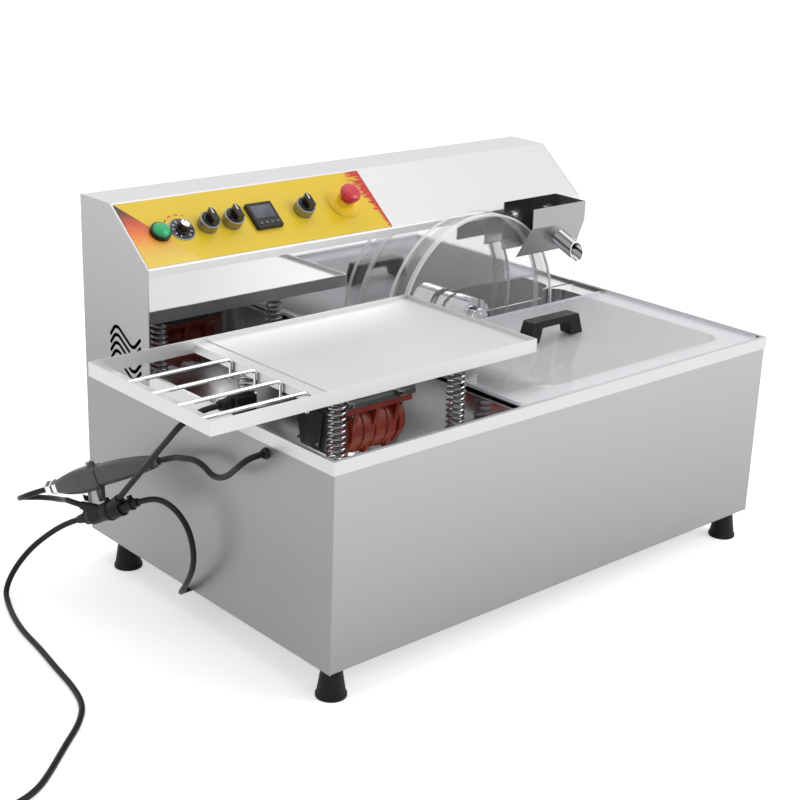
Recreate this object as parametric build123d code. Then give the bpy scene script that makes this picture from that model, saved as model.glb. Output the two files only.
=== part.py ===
# Chocolate melting tank with a clear wheel, a lift-out lid and a vibrating table.
# Lengths are in millimetres and Z is up. While the pieces are shaped, X runs along the cabinet's front
# from its left side, Y runs back from its front face and Z starts on the floor. Each piece is written
# with the origin moved to the middle of the machine's footprint.
from build123d import *
import math
import os

os.makedirs("parts", exist_ok=True)

# Cabinet
FOOT_H = 48
BODY_W = 900
BODY_D = 597
DECK_H = 305
LIP_RISE = 154
LIP_H = DECK_H + LIP_RISE
TOP_RISE = 78
TOP_H = LIP_H + TOP_RISE
TOP_DEPTH = 80
CONSOLE_DEPTH = 177
WALL_Y = BODY_D - CONSOLE_DEPTH
SHEET = 1.5
FOLD = 15
RIM_SKIRT = 19
RIM_PROUD = 2
RIM_LAP = 4
FOOT_INSET = 24
FOOT_FRONT = 26
FOOT_REAR = 66
FOOT_R = 22

# Wheel
WHEEL_R = 174
WHEEL_X = 594
WHEEL_DROP = 2
WHEEL_H = DECK_H - WHEEL_DROP
WALL_GAP = 30
DISC_T = 8
DRUM_W = 40
WHEEL_Y = WALL_Y - WALL_GAP - DRUM_W
DRUM_WALL = 6
HUB_R = 31
SHAFT_R = 10
RUN_GAP = 0.05
NUT_R = 17.5
NUT_L = 4
SEAL_T = 1

# Melting pan
TANK_X0 = 370
TANK_X1 = 850
TANK_Y0 = 46
TANK_CORNER = 30
PAN_DROP = 5
FLOOR_GAP = 14
TANK_DEPTH = WHEEL_R + FLOOR_GAP + WHEEL_DROP - PAN_DROP
LEFT_LAP = 22
RIGHT_LAP = 46
HEATER_T = 4

# Lid
LID_T = 4
LID_GAP = 0.3
LID_CORNER = 15
HANDLE_L = 126
HANDLE_W = 24
HANDLE_H = 34
HANDLE_X = 613
HANDLE_Y = 207

# Scraper
SCRAPER_X0 = WHEEL_X + 95
SCRAPER_X1 = WHEEL_X + 221
SCRAPER_TOP = WHEEL_H + WHEEL_R
SCRAPER_FOLD = SCRAPER_TOP - 32
SCRAPER_FLOOR = SCRAPER_TOP - 80
SCRAPER_Y0 = WHEEL_Y - 20
SCRAPER_Y1 = WHEEL_Y + DRUM_W + 10
WIPE_GAP = 0.4
SPOUT_R = 14.4
SPOUT_WALL = 1.2

# Spring well
WELL_W = 335
WELL_DEPTH = 95
WELL_FLOOR = DECK_H - WELL_DEPTH
WELL_LIP = 9
WELL_RIM = DECK_H - WELL_LIP
SPRING_R = 14
SPRING_WIRE = 3.4
SPRING_PITCH = 9

# Vibrating table
TRAY_X0 = -143
TRAY_X1 = 428
TRAY_Y0 = 64
TRAY_GAP = 73
TRAY_Y1 = WALL_Y - TRAY_GAP
TRAY_LIFT = 47
TRAY_Z0 = DECK_H + TRAY_LIFT
TRAY_RIM = 20
PLATE_X0 = 51
PLATE_DROP = 6
ROD_R = 3
ROD_Y0 = TRAY_Y0 + 23
ROD_STEP = (TRAY_Y1 - TRAY_Y0 - 59) / 4
ROD_DROP = 28
STRIP_X0 = 28
SPRING_X0 = 90
SPRING_X1 = 310
SPRING_INSET = 41
SPRING_Y0 = TRAY_Y0 + SPRING_INSET
SPRING_Y1 = TRAY_Y1 - SPRING_INSET

# Vibration motor
MOTOR_X0 = 127
MOTOR_X1 = 268
MOTOR_Y = TRAY_Y0 + 121
MOTOR_DROP = 43
MOTOR_H = DECK_H - MOTOR_DROP
MOTOR_R = 40
ROTOR_R = 7
BRACKET_H = DECK_H
BRACKET_W = 102

# Control panel
OVERLAY_X0 = 4
OVERLAY_X1 = 461
OVERLAY_T = 0.8
PILOT_X = 52
DIAL_X = 90
SELECTOR_A_X = 134
SELECTOR_B_X = 178
SELECTOR_C_X = 313
CASE_X = 237
STOP_X = 395
ROW_S = 60
CASE_W = 48
KNOB_GAP = 0.3
KEY_GAP = 0.3

# Cords
CORD_D = 8.6
COIL_R = 48
LEAD_LENGTH = 1900

BASE = FOOT_H
DECK = FOOT_H + DECK_H
LIP = FOOT_H + LIP_H
TOP = FOOT_H + TOP_H
SLOPE_Y = BODY_D - TOP_DEPTH
SLOPE = math.hypot(SLOPE_Y - WALL_Y, TOP_H - LIP_H)
UP_Y = (SLOPE_Y - WALL_Y) / SLOPE
UP_Z = (TOP_H - LIP_H) / SLOPE
PAN_TOP = DECK - PAN_DROP
CENTRE_X = (TRAY_X0 + BODY_W + RIM_PROUD) / 2
CENTRE_Y = (BODY_D - RIM_PROUD) / 2


def box(x0, x1, y0, y1, z0, z1):
    return Pos((x0 + x1) / 2, (y0 + y1) / 2, (z0 + z1) / 2) * Box(x1 - x0, y1 - y0, z1 - z0)


def bar(start, end, r):
    axis = Vector(*end) - Vector(*start)
    return extrude(Plane(origin=start, z_dir=axis) * Circle(r), amount=axis.length)


def cone(start, end, r0, r1):
    axis = Vector(*end) - Vector(*start)
    side = make_face(Polyline((0, 0), (r0, 0), (r1, axis.length), (0, axis.length), close=True))
    return Plane(origin=start, z_dir=axis) * revolve(Plane.XZ * side, Axis.Z)


def turned(points, origin, axis):
    ring = revolve(Plane.XZ * make_face(Polyline(*points, close=True)), Axis.Z)
    return Plane(origin=origin, z_dir=axis) * ring


def plate_yz(points, x0, x1):
    face = make_face(Polyline(*points, close=True))
    return extrude(Plane.YZ.offset(x0) * face, amount=x1 - x0)


def plate_xz(points, y0, y1):
    face = make_face(Polyline(*points, close=True))
    return extrude(Plane(origin=(0, y1, 0), x_dir=(1, 0, 0), z_dir=(0, -1, 0)) * face, amount=y1 - y0)


def bent_yz(points, x0, x1, side, radius=2.5):
    line = FilletPolyline(*points, radius=radius)
    return extrude(Plane.YZ.offset(x0) * make_face(line.offset_2d(SHEET, side=side)), amount=x1 - x0)


def slab(x0, x1, y0, y1, z0, z1, r):
    outline = Rectangle(x1 - x0, y1 - y0)
    outline = fillet(outline.vertices(), r)
    return extrude(Plane(origin=((x0 + x1) / 2, (y0 + y1) / 2, z0)) * outline, amount=z1 - z0)


def on_slope(x, s, h=0):
    spot = (x, WALL_Y + s * UP_Y - h * UP_Z, LIP + s * UP_Z + h * UP_Y)
    return Plane(origin=spot, x_dir=(1, 0, 0), z_dir=(0, -UP_Z, UP_Y))


def upright(x, s, points):
    ring = revolve(Plane.XZ * make_face(Polyline(*points, close=True)), Axis.Z)
    return on_slope(x, s) * ring


def cord_path(points):
    spots = [Vector(*p) for p in points]
    radii = []
    for before, here, after in zip(spots, spots[1:], spots[2:]):
        half = math.radians((here - before).get_angle(after - here)) / 2
        radii.append(0.45 * min((here - before).length, (after - here).length) / math.tan(half))
    return FilletPolyline(*spots, radius=radii), radii


def cord(name, points):
    path, radii = cord_path(points)
    tube = sweep(Plane(origin=path @ 0, z_dir=path % 0) * Circle(CORD_D / 2), path=path)
    print(name, "length", round(path.length), "radii", [round(r) for r in radii])
    print("  volume ratio", round(tube.volume / (path.length * math.pi * CORD_D ** 2 / 4), 3))
    return tube


def save(name, shape):
    export_step(Pos(-CENTRE_X, -CENTRE_Y, 0) * shape, f"parts/{name}.step")


# Side panels with wave vents, and the hole for the unit cord
WAVE = [(39, -5), (24, 14), (-21, -15), (-40, 4)]
VENT_Y = BODY_D - 113
VENT_Z = BASE + DECK_H + 41
VENT_STEP = 12.5
GROMMET = (0, 141, DECK - 33)

side_outline = [
    (0, BASE),
    (BODY_D, BASE),
    (BODY_D, TOP),
    (SLOPE_Y, TOP),
    (WALL_Y, LIP),
    (WALL_Y, DECK - SHEET),
    (0, DECK - SHEET),
]
wave_line = FilletPolyline(*WAVE, radius=13)
wave_slot = make_face(offset(wave_line, amount=2.8, kind=Kind.ARC, side=Side.BOTH))


def side_panel(x0, inward):
    panel = plate_yz(side_outline, x0, x0 + SHEET)
    for row in range(5):
        spot = Plane(origin=(x0 - 1, VENT_Y, VENT_Z - row * VENT_STEP), x_dir=(0, 1, 0), z_dir=(1, 0, 0))
        panel -= extrude(spot * wave_slot, amount=SHEET + 2)
    edge = x0 + SHEET if inward > 0 else x0
    x1, x2 = sorted((edge, edge + inward * FOLD))
    return panel + box(x1, x2, FOLD + 2 * SHEET, BODY_D - SHEET, BASE, BASE + SHEET)


left_panel = side_panel(0, 1)
left_panel -= bar((-1, GROMMET[1], GROMMET[2]), (SHEET + 1, GROMMET[1], GROMMET[2]), 6)
right_panel = side_panel(BODY_W - SHEET, -1)
ledge_z = PAN_TOP - SHEET
ledge_x = 3 * SHEET + WELL_W + 10
right_panel += box(BODY_W - FOLD - SHEET, BODY_W - SHEET, SHEET, WALL_Y, ledge_z - SHEET, ledge_z)
save("left_side_panel", left_panel)
save("right_side_panel", right_panel)

# Front panel with its folded foot and the ledge that carries the pan's flange
front = bent_yz([(FOLD, BASE), (0, BASE), (0, DECK - SHEET)], SHEET, BODY_W - SHEET, Side.RIGHT)
front_ledge = bent_yz(
    [(SHEET, ledge_z - 2 * FOLD), (SHEET, ledge_z), (SHEET + FOLD, ledge_z)],
    ledge_x,
    BODY_W - FOLD - SHEET,
    Side.RIGHT,
)
save("front_panel", front + front_ledge)

# Rear panel, bottom plate and the polished wall behind the wheel
rear_foot = BASE + SHEET
save("rear_panel", box(SHEET, BODY_W - SHEET, BODY_D - SHEET, BODY_D, BASE, TOP - FOLD))
base_x = SHEET + FOLD
base_plate = box(base_x, BODY_W - base_x, FOLD, BODY_D - SHEET, BASE, rear_foot)
save("bottom_plate", base_plate)

LIP_FOLD = 12
wheel_z = FOOT_H + WHEEL_H
SLEEVE_R = 18
BEARING_R = 28
wall = box(SHEET, BODY_W - SHEET, WALL_Y, WALL_Y + SHEET, rear_foot, LIP - LIP_FOLD)
wall -= bar((WHEEL_X, WALL_Y - 1, wheel_z), (WHEEL_X, WALL_Y + SHEET + 1, wheel_z), SLEEVE_R)
save("back_wall", wall)

# Console cover, one folded sheet
cover_line = [
    (BODY_D, TOP - FOLD),
    (BODY_D, TOP),
    (SLOPE_Y, TOP),
    (WALL_Y, LIP),
    (WALL_Y, LIP - LIP_FOLD),
]
cover = bent_yz(cover_line, SHEET, BODY_W - SHEET, Side.LEFT)
BARREL_R = 8
control_xs = [PILOT_X, DIAL_X, SELECTOR_A_X, SELECTOR_B_X, SELECTOR_C_X, STOP_X]
for x in control_xs:
    cover -= extrude(on_slope(x, ROW_S, -5) * Circle(BARREL_R), amount=10)
case_hole = CASE_W - 3
cover -= extrude(on_slope(CASE_X, ROW_S, -5) * Rectangle(case_hole, case_hole), amount=10)
save("console_cover", cover)

overlay_l = OVERLAY_X1 - OVERLAY_X0
overlay_h = SLOPE - 7
overlay = extrude(on_slope((OVERLAY_X0 + OVERLAY_X1) / 2, SLOPE / 2) * Rectangle(overlay_l, overlay_h), OVERLAY_T)
for x in control_xs:
    overlay -= extrude(on_slope(x, ROW_S, -1) * Circle(BARREL_R), amount=4)
overlay -= extrude(on_slope(CASE_X, ROW_S, -1) * Rectangle(case_hole, case_hole), amount=4)
save("panel_overlay", overlay)

# Rim strip round the front and both sides of the deck
rim_end = WALL_Y - 2
rim = box(-RIM_PROUD, BODY_W + RIM_PROUD, -RIM_PROUD, rim_end, DECK - RIM_SKIRT, DECK)
rim -= box(0, BODY_W, 0, rim_end, DECK - RIM_SKIRT, DECK - SHEET)
rim -= box(RIM_LAP, BODY_W - RIM_LAP, RIM_LAP, rim_end, DECK - SHEET, DECK)
save("top_rim", rim)

# Spring well, with a pressed cup under each spring
well_x0 = SHEET
well_x1 = 2 * SHEET + WELL_W + SHEET
well_z = FOOT_H + WELL_FLOOR
CUP_R = SPRING_R + 4
CUP_H = 7
springs_at = [(x, y) for x in (SPRING_X0, SPRING_X1) for y in (SPRING_Y0, SPRING_Y1)]
well = box(well_x0, well_x1, SHEET, WALL_Y, well_z - SHEET, DECK - SHEET)
well -= box(well_x0 + SHEET, well_x1 - SHEET, 2 * SHEET, WALL_Y - SHEET, well_z, DECK)
well -= box(well_x1 - SHEET, well_x1, SHEET, WALL_Y, FOOT_H + WELL_RIM, DECK)
well -= box(well_x0 + SHEET, well_x1, WALL_Y - SHEET, WALL_Y, FOOT_H + WELL_RIM, DECK)
rim_z = FOOT_H + WELL_RIM
well += box(well_x1 - SHEET, well_x1 + 5, 2 * SHEET, WALL_Y - SHEET, rim_z - SHEET, rim_z)
for x, y in springs_at:
    cup = [(CUP_R - 2, 0), (CUP_R, 0), (CUP_R, CUP_H), (CUP_R - 2, CUP_H)]
    well += turned(cup, (x, y, well_z), (0, 0, 1))
well -= bar((0, GROMMET[1], GROMMET[2]), (2 * SHEET + 1, GROMMET[1], GROMMET[2]), 6)
save("well_pan", well)

# Melting pan, drawn from one sheet, with a flat flange on three sides
tank_y1 = WALL_Y - SHEET
tank_z = PAN_TOP - TANK_DEPTH
flange_x0 = TANK_X0 - LEFT_LAP
flange_x1 = TANK_X1 + RIGHT_LAP
tank_x0 = TANK_X0 - SHEET
tank_x1 = TANK_X1 + SHEET
tank = slab(tank_x0, tank_x1, TANK_Y0 - SHEET, WALL_Y, tank_z - SHEET, PAN_TOP, TANK_CORNER + SHEET)
tank = fillet(tank.faces().sort_by(Axis.Z)[0].edges(), 8 + SHEET)
tank += box(flange_x0, flange_x1, RIM_LAP + 0.5, rim_end, PAN_TOP - SHEET, PAN_TOP)
hollow = slab(TANK_X0, TANK_X1, TANK_Y0, tank_y1, tank_z, PAN_TOP + 1, TANK_CORNER)
hollow = fillet(hollow.faces().sort_by(Axis.Z)[0].edges(), 8)
tank -= hollow
tank -= box(TANK_X0 + TANK_CORNER, TANK_X1 - TANK_CORNER, tank_y1 - 1, WALL_Y, PAN_TOP - 16, PAN_TOP)
tank -= bar((WHEEL_X, tank_y1 - 1, wheel_z), (WHEEL_X, WALL_Y, wheel_z), BEARING_R + 1)
save("melting_tank", tank)

heater_z = tank_z - SHEET
heater = slab(TANK_X0 + 30, TANK_X1 - 30, TANK_Y0 + 30, tank_y1 - 30, heater_z - HEATER_T, heater_z, 12)
save("tank_heater", heater)

# Feet
foot_shape = [
    (0, 0),
    (FOOT_R, 0),
    (FOOT_R, 4),
    (FOOT_R - 2, 8),
    (FOOT_R - 7, FOOT_H - 8),
    (FOOT_R - 6, FOOT_H - 4),
    (FOOT_R - 6, FOOT_H),
    (0, FOOT_H),
]
feet_at = [(x, y) for x in (FOOT_INSET, BODY_W - FOOT_INSET) for y in (FOOT_FRONT, BODY_D - FOOT_REAR)]
save("feet", Compound([turned(foot_shape, (x, y, 0), (0, 0, 1)) for x, y in feet_at]))

# Gearmotor, its shaft bearing and the clear wheel
AXLE = (WHEEL_X, 0, wheel_z)
FORE = (0, 1, 0)


def axle_ring(points):
    return turned([(r, y) for r, y in points], AXLE, FORE)


wall_back = WALL_Y + SHEET
GEARBOX = 90
GEARBOX_L = 64
GEAR_MOTOR_R = 39
shaft_end = wall_back + 40
housing_x0 = WHEEL_X - GEARBOX / 2
housing = slab(housing_x0, housing_x0 + GEARBOX, wall_back, wall_back + GEARBOX_L, 0, GEARBOX, 8)
housing = Pos(0, 0, wheel_z - GEARBOX / 2) * housing
motor_y0 = wall_back + GEARBOX_L
motor_y1 = motor_y0 + 100
housing += axle_ring([
    (0, motor_y0),
    (GEAR_MOTOR_R, motor_y0),
    (GEAR_MOTOR_R, motor_y1 - 10),
    (GEAR_MOTOR_R - 8, motor_y1),
    (0, motor_y1),
])
housing -= axle_ring([(0, wall_back - 1), (SHAFT_R, wall_back - 1), (SHAFT_R, shaft_end), (0, shaft_end)])
save("gearmotor", housing)

flange_y = WALL_Y - 8
sleeve_y = WALL_Y - 16
bore = SHAFT_R + RUN_GAP
save("shaft_bearing", axle_ring([
    (bore, sleeve_y),
    (SLEEVE_R - 2, sleeve_y),
    (SLEEVE_R, sleeve_y + 2),
    (SLEEVE_R, flange_y),
    (BEARING_R, flange_y),
    (BEARING_R, WALL_Y),
    (SLEEVE_R, WALL_Y),
    (SLEEVE_R, wall_back),
    (bore, wall_back),
]))

drum_y1 = WHEEL_Y + DRUM_W
save("wheel", axle_ring([
    (SHAFT_R, WHEEL_Y),
    (WHEEL_R - 0.8, WHEEL_Y),
    (WHEEL_R, WHEEL_Y + 0.8),
    (WHEEL_R, drum_y1 - 0.8),
    (WHEEL_R - 0.8, drum_y1),
    (HUB_R, drum_y1),
    (HUB_R, drum_y1 - DISC_T),
    (WHEEL_R - DRUM_WALL, drum_y1 - DISC_T),
    (WHEEL_R - DRUM_WALL, WHEEL_Y + DISC_T),
    (SHAFT_R, WHEEL_Y + DISC_T),
]))

hub_y0 = WHEEL_Y + DISC_T + SEAL_T
hub_y1 = sleeve_y - 2
groove_y = drum_y1 - DISC_T + 2
save("wheel_hub", axle_ring([
    (SHAFT_R, hub_y0),
    (HUB_R, hub_y0),
    (HUB_R, groove_y),
    (HUB_R - 2, groove_y),
    (HUB_R - 2, groove_y + 2.5),
    (HUB_R, groove_y + 2.5),
    (HUB_R, hub_y1 - 1.5),
    (HUB_R - 1.5, hub_y1),
    (SHAFT_R, hub_y1),
]))
seal_y = WHEEL_Y + DISC_T
seals = axle_ring([(SHAFT_R, seal_y), (HUB_R, seal_y), (HUB_R, hub_y0), (SHAFT_R, hub_y0)])
seals += axle_ring([
    (HUB_R - 2, groove_y),
    (HUB_R, groove_y),
    (HUB_R, groove_y + 2.5),
    (HUB_R - 2, groove_y + 2.5),
])
save("hub_rings", seals)

nut_y = WHEEL_Y - NUT_L
shaft = axle_ring([
    (0, nut_y - 1),
    (SHAFT_R - 1, nut_y - 1),
    (SHAFT_R, nut_y),
    (SHAFT_R, shaft_end - 1),
    (SHAFT_R - 1, shaft_end),
    (0, shaft_end),
])
save("drive_shaft", shaft)
nut = axle_ring([
    (SHAFT_R, nut_y),
    (NUT_R - 1, nut_y),
    (NUT_R, nut_y + 1),
    (NUT_R, WHEEL_Y),
    (SHAFT_R, WHEEL_Y),
])
for turn in range(6):
    a = math.radians(60 * turn + 30)
    at = (WHEEL_X + (NUT_R + 1) * math.cos(a), wheel_z + (NUT_R + 1) * math.sin(a))
    nut -= bar((at[0], nut_y - 1, at[1]), (at[0], WHEEL_Y - 1, at[1]), 3)
save("lock_nut", nut)

# Lid and its bridge handle
lid_z = PAN_TOP + LID_GAP
lid_top = lid_z + LID_T
lid_x0 = flange_x0 + 2
lid_x1 = flange_x1 - 2
lid_y0 = RIM_LAP + 2
lid_y1 = nut_y - 3
lid = slab(lid_x0, lid_x1, lid_y0, lid_y1, lid_z, lid_top, LID_CORNER)
FOOT_L = 26
handle_x0 = HANDLE_X - HANDLE_L / 2
handle_x1 = HANDLE_X + HANDLE_L / 2
arch = make_face(FilletPolyline(
    (handle_x0, lid_top),
    (handle_x0 + 12, lid_top + HANDLE_H),
    (handle_x1 - 12, lid_top + HANDLE_H),
    (handle_x1, lid_top),
    (handle_x1 - FOOT_L, lid_top),
    (handle_x1 - FOOT_L - 6, lid_top + HANDLE_H - 11),
    (handle_x0 + FOOT_L + 6, lid_top + HANDLE_H - 11),
    (handle_x0 + FOOT_L, lid_top),
    radius=[3, 3, 1, 1, 3, 3],
    close=False,
) + Line((handle_x0 + FOOT_L, lid_top), (handle_x0, lid_top)))
side = Plane(origin=(0, HANDLE_Y + HANDLE_W / 2, 0), x_dir=(1, 0, 0), z_dir=(0, -1, 0))
handle = extrude(side * arch, amount=HANDLE_W)
screws = []
for x in (handle_x0 + FOOT_L / 2, handle_x1 - FOOT_L / 2):
    screw_line = [(0, 0), (4.6, 0), (4.6, 2.6), (2.5, 2.6), (2.5, LID_T + 14.6), (0, LID_T + 14.6)]
    screw = turned(screw_line, (x, HANDLE_Y, lid_z - 2.6), (0, 0, 1))
    lid -= bar((x, HANDLE_Y, lid_z - 1), (x, HANDLE_Y, lid_top + 1), 2.5)
    handle -= bar((x, HANDLE_Y, lid_top - 1), (x, HANDLE_Y, lid_top + 12), 2.5)
    screws.append(screw)
save("lid_sheet", lid)
save("lid_handle", handle)
save("handle_screws", Compound(screws))

# Scraper box round the wheel's rim, its blade, its studs and the spout
scr_floor = FOOT_H + SCRAPER_FLOOR
scr_fold = FOOT_H + SCRAPER_FOLD
scr_top = FOOT_H + SCRAPER_TOP
toe_y = WHEEL_Y - 1 - SHEET


def rim_x(z, gap):
    return WHEEL_X + math.sqrt((WHEEL_R + gap) ** 2 - (z - wheel_z) ** 2)


floor_x = rim_x(scr_floor, WIPE_GAP + 2)
floor_z = scr_floor - SHEET
flare_x = SCRAPER_X0 - 17
folds = [
    (SCRAPER_Y0, scr_top),
    (SCRAPER_Y0, scr_fold),
    (toe_y, floor_z),
    (SCRAPER_Y1, floor_z),
    (SCRAPER_Y1, scr_top),
]
hopper = bent_yz(folds, flare_x, SCRAPER_X1, Side.LEFT)
hopper -= plate_xz(
    [
        (flare_x - 1, scr_top + 1),
        (flare_x - 1, floor_z - 1),
        (flare_x, floor_z),
        (SCRAPER_X0, scr_fold),
        (SCRAPER_X0, scr_top + 1),
    ],
    SCRAPER_Y0 - 1,
    toe_y + SHEET + 0.5,
)
hopper -= box(flare_x - 1, floor_x, toe_y + SHEET + 0.5, SCRAPER_Y1 - SHEET - 1.5, floor_z - 1, scr_top)
hopper -= box(flare_x - 1, SCRAPER_X0, SCRAPER_Y1 - SHEET - 1.5, SCRAPER_Y1 + 1, floor_z - 1, scr_top + 1)
end_line = FilletPolyline(*folds, radius=2.5) + Line(folds[-1], folds[0])
hopper += extrude(Plane.YZ.offset(SCRAPER_X1 - SHEET) * make_face(end_line), amount=SHEET)
spout_in = Vector(WHEEL_X + 163, WHEEL_Y + 5.5, wheel_z + 128)
spout_out = Vector(spout_in.X + 31, spout_in.Y - 60, spout_in.Z - 46)
tube_cut = box(SCRAPER_X0, SCRAPER_X1 + 60, spout_in.Y - 44.5, spout_in.Y, scr_floor - 60, scr_top)
hopper -= bar(spout_in, spout_out, SPOUT_R)
spout = bar(spout_in, spout_out, SPOUT_R)
spout -= bar(spout_in, spout_out, SPOUT_R - SPOUT_WALL)
spout = spout & tube_cut
studs = []
for x in (SCRAPER_X0 + 24, SCRAPER_X1 - 24):
    z = scr_top - 24
    hopper -= bar((x, SCRAPER_Y1 - SHEET - 1, z), (x, SCRAPER_Y1 + 1, z), 3)
    stud = bar((x, SCRAPER_Y1 - 9, z), (x, WALL_Y, z), 3)
    stud += bar((x, SCRAPER_Y1, z), (x, SCRAPER_Y1 + 5, z), 6)
    stud += bar((x, SCRAPER_Y1 - SHEET - 5, z), (x, SCRAPER_Y1 - SHEET, z), 5)
    wing = [(x - 11, z + 7), (x - 4, z - 3), (x + 4, z - 3), (x + 11, z + 7), (x + 4, z + 3), (x - 4, z + 3)]
    studs.append(stud + plate_xz(wing, SCRAPER_Y1 - SHEET - 4, SCRAPER_Y1 - SHEET - 2))
save("scraper_hopper", hopper)
save("spout_tube", spout)
save("scraper_studs", Compound(studs))
blade_t = 3
blade = plate_xz(
    [
        (rim_x(scr_floor, WIPE_GAP), scr_floor),
        (rim_x(scr_floor, WIPE_GAP) + 20, scr_floor),
        (rim_x(scr_floor, WIPE_GAP) + 20, scr_floor + blade_t),
        (rim_x(scr_floor + blade_t, WIPE_GAP), scr_floor + blade_t),
    ],
    toe_y + 2,
    SCRAPER_Y1 - SHEET - 1.2,
)
save("scraper_blade", blade)

# Vibrating table
tray_z = FOOT_H + TRAY_Z0
tray_top = tray_z + TRAY_RIM
plate_top = tray_top - PLATE_DROP
plate_z = plate_top - SHEET
frame = box(TRAY_X0, TRAY_X1, TRAY_Y0, TRAY_Y1, tray_z, tray_top)
frame -= box(TRAY_X0 + SHEET, TRAY_X1 - SHEET, TRAY_Y0 + SHEET, TRAY_Y1 - SHEET, tray_z, tray_top)
inner_y0 = TRAY_Y0 + SHEET
inner_y1 = TRAY_Y1 - SHEET
frame += box(TRAY_X0 + SHEET, TRAY_X0 + 38, inner_y0, inner_y1, tray_z, tray_z + SHEET)
frame += box(STRIP_X0, SPRING_X0 + 20, inner_y0, inner_y1, plate_z - SHEET, plate_z)
frame += box(STRIP_X0, STRIP_X0 + SHEET, inner_y0, inner_y1, tray_z, plate_z)


def rail(x0, x1):
    u = box(x0, x1, inner_y0, inner_y1, tray_z, plate_z)
    return u - box(x0 + SHEET, x1 - SHEET, inner_y0, inner_y1, tray_z + SHEET, plate_z)


for x in (SPRING_X0, SPRING_X1):
    frame += rail(x - CUP_R - 2, x + CUP_R + 2)
for x, y in springs_at:
    cup = [(CUP_R - 2, -CUP_H), (CUP_R, -CUP_H), (CUP_R, 0), (CUP_R - 2, 0)]
    frame += turned(cup, (x, y, tray_z), (0, 0, 1))
save("tray_frame", frame)
save("tray_plate", box(PLATE_X0, TRAY_X1 - SHEET, inner_y0, inner_y1, plate_z, plate_top))

rod_z = tray_top - ROD_R - 1
rods = []
for i in range(4):
    y = ROD_Y0 + i * ROD_STEP
    x = STRIP_X0 - ROD_R
    line = FilletPolyline((TRAY_X0 + SHEET, y, rod_z), (x, y, rod_z), (x, y, rod_z - ROD_DROP), radius=6)
    rods.append(sweep(Plane(origin=line @ 0, z_dir=line % 0) * Circle(ROD_R), path=line))
save("tray_rods", Compound(rods))

# Coil springs
turns = round((tray_z - well_z) / SPRING_PITCH)
STEPS = 8
coil_r = SPRING_R - SPRING_WIRE / 2
coil_z0 = well_z + SPRING_WIRE / 2
coil_h = tray_z - well_z - SPRING_WIRE
springs = []
spots = []
for i in range(turns * STEPS + 1):
    a = 2 * math.pi * i / STEPS
    spots.append((coil_r * math.cos(a), coil_r * math.sin(a), coil_z0 + coil_h * i / (turns * STEPS)))
helix = Polyline(*spots)
wire = Plane(origin=helix @ 0, z_dir=helix % 0) * Rectangle(SPRING_WIRE, SPRING_WIRE)
coil = sweep(wire, path=helix, transition=Transition.RIGHT)
coil = coil & box(-40, 40, -40, 40, well_z, tray_z)
for x, y in springs_at:
    springs.append(Pos(x, y, 0) * coil)
save("springs", Compound(springs))

# Motor bracket, vibration motor and its rotor
motor_z = FOOT_H + MOTOR_H
bracket_z = FOOT_H + BRACKET_H
bracket_y0 = MOTOR_Y - BRACKET_W / 2
bracket_y1 = MOTOR_Y + BRACKET_W / 2
LAP = 13
hat = bent_yz(
    [
        (bracket_y0, bracket_z),
        (bracket_y0 + LAP, bracket_z),
        (bracket_y0 + LAP, plate_z - SHEET),
        (bracket_y1 - LAP, plate_z - SHEET),
        (bracket_y1 - LAP, bracket_z),
        (bracket_y1, bracket_z),
    ],
    MOTOR_X0,
    MOTOR_X1,
    Side.LEFT,
    2,
)
for y, toward in ((bracket_y0, 1), (bracket_y1, -1)):
    corner = extrude(make_face(Polyline(
        (MOTOR_X1 - 10, y, bracket_z - 5),
        (MOTOR_X1, y, bracket_z - 5),
        (MOTOR_X1, y + toward * 10, bracket_z - 5),
        close=True,
    )), amount=20, dir=(0, 0, 1))
    hat -= corner
motor_axis = (MOTOR_X0, MOTOR_Y, motor_z)
END_WALL = 4
CHAMBER = 24


def motor_ring(points):
    return turned([(r, x) for r, x in points], motor_axis, (1, 0, 0))


motor_l = MOTOR_X1 - MOTOR_X0 - 8
hollow_r = MOTOR_R - 10
core_r = ROTOR_R + RUN_GAP
bearing_x = CHAMBER + 10
casting = motor_ring([
    (0, 0),
    (MOTOR_R - 14, 0),
    (MOTOR_R - 4, 6),
    (MOTOR_R - 4, CHAMBER),
    (MOTOR_R, CHAMBER + 2),
    (MOTOR_R, motor_l - CHAMBER - 2),
    (MOTOR_R - 4, motor_l - CHAMBER),
    (MOTOR_R - 4, motor_l - 6),
    (MOTOR_R - 14, motor_l),
    (0, motor_l),
])
pad = box(MOTOR_X0, MOTOR_X0 + motor_l - 6, bracket_y0 + 2, bracket_y1 - 2, bracket_z - 9, bracket_z)
cheek = plate_yz(
    [
        (bracket_y0 + 4, bracket_z - 4),
        (bracket_y0 + 10, motor_z + 8),
        (MOTOR_Y - 22, motor_z - MOTOR_R - 2),
        (MOTOR_Y + 22, motor_z - MOTOR_R - 2),
        (bracket_y1 - 10, motor_z + 8),
        (bracket_y1 - 4, bracket_z - 4),
    ],
    MOTOR_X0 + CHAMBER,
    MOTOR_X0 + CHAMBER + 7,
)
casting += pad
for i in range(3):
    casting += Pos(i * (motor_l - 2 * CHAMBER - 7) / 2, 0, 0) * cheek
terminal_box = slab(MOTOR_X0 + 4, MOTOR_X0 + 52, MOTOR_Y + 24, MOTOR_Y + 58, motor_z - 16, motor_z + 13, 5)
casting += terminal_box
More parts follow.
